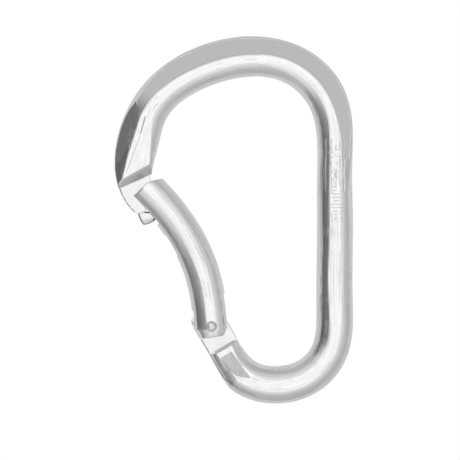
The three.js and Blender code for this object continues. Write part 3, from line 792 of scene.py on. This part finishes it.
def polished(name, tint, streak=1.0, seed=0.0, lines=(), marks=False):
    """Polished aluminium: drawn streaks along the bar, soft waves, crossing scratches, specks, and painted shade lines
    along edges.
    """
    mat, g, p = start(name)
    bar = g.vmath("ADD", g.attr("bar"), (seed, seed * 0.7, seed * 1.9))
    here = g.node("ShaderNodeTexCoord").outputs["Object"]
    mm = g.vmath("MULTIPLY", here, (1000.0, 1000.0, 1000.0))
    flat = g.vmath("MULTIPLY", mm, (1.0, 0.0, 1.0))
    calm = g.attr("calm", "Fac")
    if marks:
        tang, slope, cheek, nose, leaf = body_regions(g, mm)
        dull = g.math("MAXIMUM", tang, g.math("MULTIPLY", cheek, 0.4))
        calm = g.math("MAXIMUM", calm, g.math("MAXIMUM", dull, g.math("MAXIMUM", slope, nose)))
        dent = leaf
        # the leaf, and more weakly the slope and nose facets, get a mottled darkening of their colour below: painted
        # shade for the grey these tilted facets reflect, laid over their real rough forged mottling
        leaf = g.math("MAXIMUM", leaf, g.math("MAXIMUM", g.math("MULTIPLY", slope, 0.7), g.math("MULTIPLY", nose, 0.25)))
    else:
        dull, leaf, dent, nose = g.attr("dull", "Fac"), 0.0, None, None
    live = g.math("SUBTRACT", 1.0, g.math("MULTIPLY", calm, 0.9))
    # streaks that follow the bar
    broad = g.noise(g.turned(bar, (0, 0, 0), (1.0, 1.0, 0.022)), 0.55, 2.0, 0.5)
    drawn = g.noise(g.turned(bar, (0, 0, 0), (1.0, 1.0, 0.03)), 1.5, 3.0, 0.6)
    fine = g.noise(g.turned(bar, (0, 0, 0), (1.0, 1.0, 0.05)), 6.0, 2.0, 0.6)
    hair = g.noise(g.turned(bar, (0, 0, 0), (1.0, 1.0, 0.018)), 0.9, 1.0, 0.4)
    hair = g.span(g.math("ABSOLUTE", g.math("SUBTRACT", g.math("FRACT", g.math("MULTIPLY", hair, 7.0)), 0.5)), 0.05, 0.0)
    hair = product(g, hair, live, g.span(g.noise(bar, 0.12, 1.0), 0.47, 0.6))
    wave = g.noise(mm, 0.16, 2.0, 0.5)
    s1 = scratches(g, mm, 17.0)
    s2 = scratches(g, mm, 71.0, 0.016, 6.0, 0.6)
    s3 = scratches(g, mm, -38.0, 0.014, 12.0, 0.64)
    scr = g.math("MAXIMUM", g.math("MAXIMUM", s1, s2), s3)
    grain = g.noise(mm, 6.5, 2.0, 0.7)
    cloud = g.noise(mm, 0.7, 3.0, 0.6)
    pits = g.span(g.cells(mm, 1.3), 0.14, 0.04)
    pit_gate = g.span(g.noise(mm, 0.45, 1.0), 0.54, 0.64)
    pits = g.math("MULTIPLY", pits, pit_gate)
    mottle_and_shade = g.noise(mm, 1.5, 4.0, 0.75, 0.5)
    edge_shade = None
    # each line darkens the colour where an edge or facet border turns into shade (painted shade); depth sets how dark
    # it is
    for p0, p1, width, depth in lines:
        one = g.math("MULTIPLY", line_mask(g, flat, p0, p1, width), depth)
        edge_shade = one if edge_shade is None else g.math("MAXIMUM", edge_shade, one)
    if edge_shade is not None:
        # the painted shade lines lie on the front and back, not on the rim
        sep = g.node("ShaderNodeSeparateXYZ")
        g.put(sep.inputs[0], mm)
        height = g.math("ADD", g.math("ABSOLUTE", sep.outputs[1]), g.span(sep.outputs[2], -38.0, -38.6, 0.0, 0.6))
        edge_shade = g.math("MULTIPLY", edge_shade, g.span(height, 1.85, 2.1))
    # colour
    value = g.math("ADD", 0.955, g.math("MULTIPLY", g.math("SUBTRACT", drawn, 0.5), g.math("MULTIPLY", live, 0.42)))
    value = g.math("ADD", value, g.math("MULTIPLY", g.math("SUBTRACT", fine, 0.5), g.math("MULTIPLY", live, 0.24)))
    value = g.math("ADD", value, g.math("MULTIPLY", g.math("SUBTRACT", cloud, 0.5), 0.05))
    value = g.math("ADD", value, g.math("MULTIPLY", g.math("SUBTRACT", grain, 0.5), g.math("ADD", 0.12, g.math("MULTIPLY", dull, 0.34))))
    value = g.math("SUBTRACT", value, g.math("MULTIPLY", hair, 0.16))
    value = g.math("SUBTRACT", value, g.math("MULTIPLY", scr, 0.10))
    value = g.math("SUBTRACT", value, g.math("MULTIPLY", pits, 0.25))
    # painted shade over real forged mottling: darkens the leaf, slope and nose facets in patches
    value = g.math("SUBTRACT", value, g.math("MULTIPLY", leaf, g.math("MULTIPLY", mottle_and_shade, 0.55)))
    if edge_shade is not None:
        # painted shade: darkens the colour along the edge lines
        value = g.math("SUBTRACT", value, g.math("MULTIPLY", edge_shade, 0.5))
    lo_c = tuple(c * 0.35 for c in tint) + (1,)
    hi_c = tuple(min(1.0, c * 1.04) for c in tint) + (1,)
    # roughness
    r = g.math("ADD", 0.10, g.math("MULTIPLY", fine, 0.06))
    r = g.math("ADD", r, g.math("MULTIPLY", scr, 0.10))
    r = g.math("ADD", r, g.math("MULTIPLY", pits, 0.2))
    r = g.math("ADD", r, g.math("MULTIPLY", dull, 0.12))
    # relief, in thousandths of a millimetre
    h = g.math("MULTIPLY", wave, 40.0)
    smooth_part = g.math("ADD", g.math("MULTIPLY", broad, 85.0 * streak), g.math("MULTIPLY", drawn, 62.0 * streak))
    smooth_part = g.math("ADD", smooth_part, g.math("MULTIPLY", fine, 3.5 * streak))
    h = g.math("ADD", h, g.math("MULTIPLY", smooth_part, live))
    h = g.math("SUBTRACT", h, g.math("MULTIPLY", hair, 17.0))
    h = g.math("SUBTRACT", h, g.math("MULTIPLY", scr, 6.0))
    h = g.math("ADD", h, product(g, grain, g.math("ADD", dull, 0.10), 4.5))
    h = g.math("SUBTRACT", h, g.math("MULTIPLY", pits, 10.0))
    if dent is not None:
        h = g.math("ADD", h, product(g, mottle_and_shade, leaf, 55.0))
        h = g.math("SUBTRACT", h, g.math("MULTIPLY", dent, 60.0))
        # the clamped facet on the nose is slightly hollow and cloudy
        clouds = g.noise(mm, 0.42, 3.0, 0.55)
        h = g.math("ADD", h, product(g, g.math("SUBTRACT", clouds, 0.5), nose, 220.0))
        r = g.math("ADD", r, g.math("MULTIPLY", nose, 0.12))
    if marks:
        # generic peened ticks in two rows along the spine, and a worn patch below them
        sep = g.node("ShaderNodeSeparateXYZ")
        g.put(sep.inputs[0], mm)
        x, z = sep.outputs[0], sep.outputs[2]
        field = g.math("MULTIPLY", g.span(x, 23.2, 24.2), g.span(x, 28.0, 27.0))
        field = g.math("MULTIPLY", field, g.math("MULTIPLY", g.span(z, -16.8, -18.2), g.span(z, -41.5, -39.5)))
        patch = g.math("MULTIPLY", g.span(x, 22.6, 23.8), g.span(x, 27.0, 25.6))
        patch = g.math("MULTIPLY", patch, g.math("MULTIPLY", g.span(z, -41.0, -43.0), g.span(z, -56.0, -49.0)))
        cell = g.node("ShaderNodeTexVoronoi", feature="F1", voronoi_dimensions="3D")
        g.put(cell.inputs["Vector"], g.turned(mm, (0, 0, 0), (0.95, 0.0, 0.75)))
        cell.inputs["Scale"].default_value = 1.0
        pick = g.node("ShaderNodeSeparateColor")
        g.put(pick.inputs[0], cell.outputs["Color"])
        across_ = g.span(g.math("ABSOLUTE", g.math("SUBTRACT", g.math("FRACT", g.math("MULTIPLY", z, 1.05)), 0.5)), 0.17, 0.05)
        along_ = g.span(g.math("ABSOLUTE", g.math("SUBTRACT", g.math("FRACT", g.math("MULTIPLY", x, 0.85)), 0.5)), 0.15, 0.05)
        which = g.span(pick.outputs[0], 0.46, 0.54)
        tick = g.math("ADD", g.math("MULTIPLY", across_, which), g.math("MULTIPLY", along_, g.math("SUBTRACT", 1.0, which)))
        tick = g.math("MULTIPLY", tick, g.span(pick.outputs[1], 0.2, 0.3))
        tick = g.math("MULTIPLY", tick, field)
        peck = g.math("MULTIPLY", g.noise(mm, 2.6, 2.0, 0.7), patch)
        h = g.math("ADD", h, g.math("SUBTRACT", g.math("MULTIPLY", peck, 85.0), g.math("MULTIPLY", tick, 50.0)))
        value = g.math("SUBTRACT", value, g.math("MULTIPLY", tick, 0.10))
        r = g.math("ADD", r, g.math("MULTIPLY", tick, 0.08))
    r = g.math("ADD", r, g.math("MULTIPLY", leaf, 0.3), clamp=True)
    p_col = g.mix(g.span(value, 0.35, 1.0, smooth=False), lo_c, hi_c)
    g.put(p.inputs["Base Color"], p_col)
    g.put(p.inputs["Roughness"], r)
    g.put(p.inputs["Normal"], g.bump(h, 0.000001))
    return mat


def turned_steel(name, tint, rough, centre, axis="Y"):
    """Bright steel with fine turning rings and handling specks."""
    mat, g, p = start(name)
    here = g.node("ShaderNodeTexCoord").outputs["Object"]
    mm = g.vmath("MULTIPLY", here, (1000.0, 1000.0, 1000.0))
    off = g.vmath("SUBTRACT", mm, (centre[0], 0.0, centre[1]))
    sep = g.node("ShaderNodeSeparateXYZ")
    g.put(sep.inputs[0], off)
    rad = g.math("SQRT", g.math("ADD", g.math("POWER", sep.outputs[0], 2.0), g.math("POWER", sep.outputs[2], 2.0)))
    rings_ = g.math("SINE", g.math("MULTIPLY", rad, 55.0))
    grain = g.noise(mm, 7.0, 3.0, 0.6)
    spot = g.noise(mm, 1.4, 2.0)
    c = g.mix(g.span(spot, 0.3, 0.7), tuple(t * 0.86 for t in tint) + (1,), tuple(tint) + (1,))
    g.put(p.inputs["Base Color"], c)
    g.put(p.inputs["Roughness"], g.math("ADD", rough, g.math("MULTIPLY", grain, 0.12)))
    n = g.bump(rings_, 0.0000008)
    n = g.bump(grain, 0.000004, n)
    g.put(p.inputs["Normal"], n)
    return mat


def point_mask(obj, name, values):
    attr = obj.data.attributes.new(name, "FLOAT", "POINT")
    attr.data.foreach_set("value", np.asarray(values, np.float32))


def coordinates(obj):
    co = np.zeros(len(obj.data.vertices) * 3)
    obj.data.vertices.foreach_get("co", co)
    return co.reshape(-1, 3) * 1000


co = coordinates(body)
front = np.stack([co[:, 0], np.abs(co[:, 1]), co[:, 2]], 1)
on_tang = (np.abs(front[:, 1] - NOSE_TANG_H) < 0.02) & (co[:, 2] < -27) & (co[:, 0] < -20)
on_tang |= (np.abs(front[:, 1] - HINGE_TANG_H) < 0.02) & (co[:, 2] < -65) & (co[:, 0] < 0)
on_cheek = (np.abs(P_CHEEK(front)) < 0.03) & (co[:, 0] < -20) & (co[:, 2] < -10)
on_wedge = np.zeros(len(co))
norms = np.zeros(len(co) * 3)
body.data.vertices.foreach_get("normal", norms)
norms = norms.reshape(-1, 3)
outer_line = outer_at(np.linspace(4, 30, 400))
near = np.sqrt(((co[:, None, [0, 2]] - outer_line[None, ::4, :])**2).sum(-1).min(1))
tilt = np.degrees(np.arccos(np.clip(np.abs(norms[:, 1]), 0, 1)))
on_wedge = (np.abs(tilt - WEDGE) < 3.0) & (near < 7.5) & (co[:, 2] > -32)
point_mask(body, "calm", on_wedge)
point_mask(gate, "calm", np.zeros(len(gate.data.vertices)))
point_mask(gate, "dull", np.where(np.abs(np.abs(coordinates(gate)[:, 1]) - HINGE_SLOT_H) < 0.02, 0.8, 0.0))

# dark lines painted along edges and facet borders where the real edges fall into shade, i.e. painted shade: (from, to,
# width, darkness)
SHADE_LINES = [((-27.8, -11.1), (-29.2, -16.3), 0.30, 1.0), ((-29.2, -16.3), (-33.2, -27.1), 0.26, 0.55),
    ((-25.2, -6.6), (-24.3, -5.6), 0.22, 0.5), ((-25.6, -9.2), (-24.3, -7.5), 0.22, 0.5),
    ((-26.7, -26.0), (-26.3, -29.1), 0.2, 0.5),
    # painted shade lines along the outer edge of the nose and its tang
    ((-36.0, -19.2), (-36.35, -22.8), 0.34, 0.5), ((-36.35, -22.8), (-36.15, -27.2), 0.34, 0.6),
    ((-36.15, -27.2), (-35.3, -31.2), 0.34, 0.6), ((-35.1, -31.2), (-34.25, -33.5), 0.42, 1.0),
    ((-34.25, -33.5), (-33.3, -35.2), 0.46, 1.0), ((-33.3, -35.2), (-32.0, -36.85), 0.46, 1.0),
    ((-32.0, -36.85), (-30.75, -38.1), 0.46, 1.0),
    ((-29.95, -38.7), (-28.8, -41.2), 0.55, 1.0), ((-28.8, -41.3), (-25.2, -40.2), 1.5, 0.55),
    # painted shade lines along the hinge tang, the shoulder and the flash line
    ((-14.9, -68.2), (-12.3, -73.3), 0.30, 0.8), ((-12.3, -73.3), (-9.8, -77.6), 0.32, 0.9),
    ((-14.6, -68.4), (-14.2, -69.4), 0.55, 0.8), ((-5.05, -68.5), (-2.5, -73.1), 0.22, 0.55),
    ((-8.6, -77.3), (-2.7, -73.8), 0.52, 0.85), ((-9.9, -77.7), (-6.0, -84.2), 0.42, 0.9),
    ((-6.0, -84.2), (-1.54, -87.3), 0.36, 0.75), ((-1.54, -87.3), (3.1, -89.1), 0.34, 0.5)]
m_body = polished("polished_aluminium_bar", (0.905, 0.905, 0.91), lines=SHADE_LINES, marks=True)
m_gate = polished("polished_aluminium_gate", (0.90, 0.90, 0.905), 1.2, 37.0)
m_rivet = turned_steel("peened_rivet_steel", (0.80, 0.80, 0.81), 0.17, RIVET)
m_pin = turned_steel("ground_pin_steel", (0.74, 0.74, 0.75), 0.2, PIN)
m_plunger = turned_steel("plunger_steel", (0.74, 0.74, 0.75), 0.22, BORE_BASE)
m_spring = turned_steel("drawn_spring_wire", (0.6, 0.6, 0.62), 0.26, BORE_BASE)
for obj, mat in ((body, m_body), (gate, m_gate), (rivet, m_rivet), (pin, m_pin), (plunger, m_plunger), (spring, m_spring)):
    obj.data.materials.clear()
    obj.data.materials.append(mat)

# ------------------------------------------------------------------ riding
for obj, node, body_name, slot in (
        (body, "body", "frame", "polished_body"), (gate, "gate_arm", "gate", "polished_gate"),
        (rivet, "hinge_rivet", "gate", "rivet_steel"), (pin, "latch_pin", "gate", "pin_steel"),
        (spring, "gate_spring", "gate", "spring_steel"), (plunger, "spring_plunger", "plunger", "pin_steel")):
    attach(obj, body_name)
    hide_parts(node)
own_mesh(spring)

# ------------------------------------------------------------------ floor, world, camera
n = 96
a = np.arange(n) * 2 * math.pi / n
floor = new_object("studio_floor", np.stack([0.55 * np.cos(a), 0.55 * np.sin(a), np.full(n, -0.150)], 1), [tuple(range(n))])
fm = bpy.data.materials.new("pale_floor")
fm.use_nodes = True
fp = fm.node_tree.nodes["Principled BSDF"]
fp.inputs["Base Color"].default_value = (0.9, 0.9, 0.9, 1)
fp.inputs["Roughness"].default_value = 0.75
fp.inputs["Emission Color"].default_value = (1, 1, 1, 1)
fp.inputs["Emission Strength"].default_value = 0.16
floor.data.materials.append(fm)
floor.visible_glossy = False
floor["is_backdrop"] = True

# studio round the object: white front light, grey tent, one dark card on the left, white paper behind
world = bpy.data.worlds.new("studio")
bpy.context.scene.world = world
world.use_nodes = True
w = Graph(world.node_tree)
bg = world.node_tree.nodes["Background"]
ray = w.node("ShaderNodeTexCoord").outputs["Generated"]
sep = w.node("ShaderNodeSeparateXYZ")
w.put(sep.inputs[0], ray)
rx, ry, rz = sep.outputs
turn_ = w.math("DIVIDE", w.math("ARCCOSINE", w.math("MULTIPLY", ry, -1.0)), math.pi)
ramp_ = w.node("ShaderNodeValToRGB")
w.put(ramp_.inputs[0], turn_)
stops = [(0, 1.0), (9, 1.04), (14, 1.09), (24, 1.06), (30, 0.95), (36, 0.85), (45, 0.77), (55, 0.645), (64, 0.54), (75, 0.505), (85, 0.46),
         (95, 0.455), (103, 0.56), (110, 0.635), (125, 0.645), (148, 0.62), (160, 0.80), (170, 0.98), (180, 1.02)]
el = ramp_.color_ramp.elements
while len(el) < len(stops):
    el.new(0.5)
for e, (deg, v) in zip(el, stops):
    e.position = deg / 180
    e.color = (v, v, v, 1)
left = w.math("MULTIPLY", w.math("ARCTAN2", w.math("MULTIPLY", rx, -1.0), w.math("MULTIPLY", ry, -1.0)), 180 / math.pi)
high = w.math("MULTIPLY", w.math("ARCSINE", rz), 180 / math.pi)
above = w.math("MULTIPLY", w.math("MAXIMUM", w.math("SUBTRACT", rz, 0.35), 0.0), 0.25)
cone = w.span(w.math("SUBTRACT", w.math("MULTIPLY", rx, -1.0), above), 0.60, 0.88)
lobe = w.math("MULTIPLY", w.span(left, 12.0, 42.0), w.math("MULTIPLY", w.span(high, 16.0, 5.0), w.span(high, -33.0, -14.0)))
card = w.math("MULTIPLY", w.math("MAXIMUM", cone, lobe), w.span(left, 112.0, 97.0))
deep = w.span(high, -20.0, 5.0, 0.50, 0.74)
shade_ = w.math("SUBTRACT", 1.0, w.math("MULTIPLY", card, deep))
lit = w.math("MULTIPLY", ramp_.outputs[0], shade_)
seen = w.node("ShaderNodeLightPath").outputs["Is Camera Ray"]
final = w.mix(seen, lit, (1.0, 1.0, 1.0, 1))
w.put(bg.inputs["Color"], final)
bg.inputs["Strength"].default_value = 1.0
bpy.context.scene.view_settings.view_transform = "Standard"

cam = bpy.data.cameras.new("camera")
cam_obj = bpy.data.objects.new("camera", cam)
bpy.context.scene.collection.objects.link(cam_obj)
cam_obj.location = (-0.0042, -1.2, -0.04292)
cam_obj.rotation_euler = (math.radians(90), 0, 0)
cam.sensor_width = 36
cam.lens = 36 * 1.2 / 0.1288
cam.clip_start, cam.clip_end = 0.01, 20
bpy.context.scene.camera = cam_obj

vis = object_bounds()
{"cad": [list(map(float, c)) for c in cad_box], "visual": [list(map(float, c)) for c in vis]}
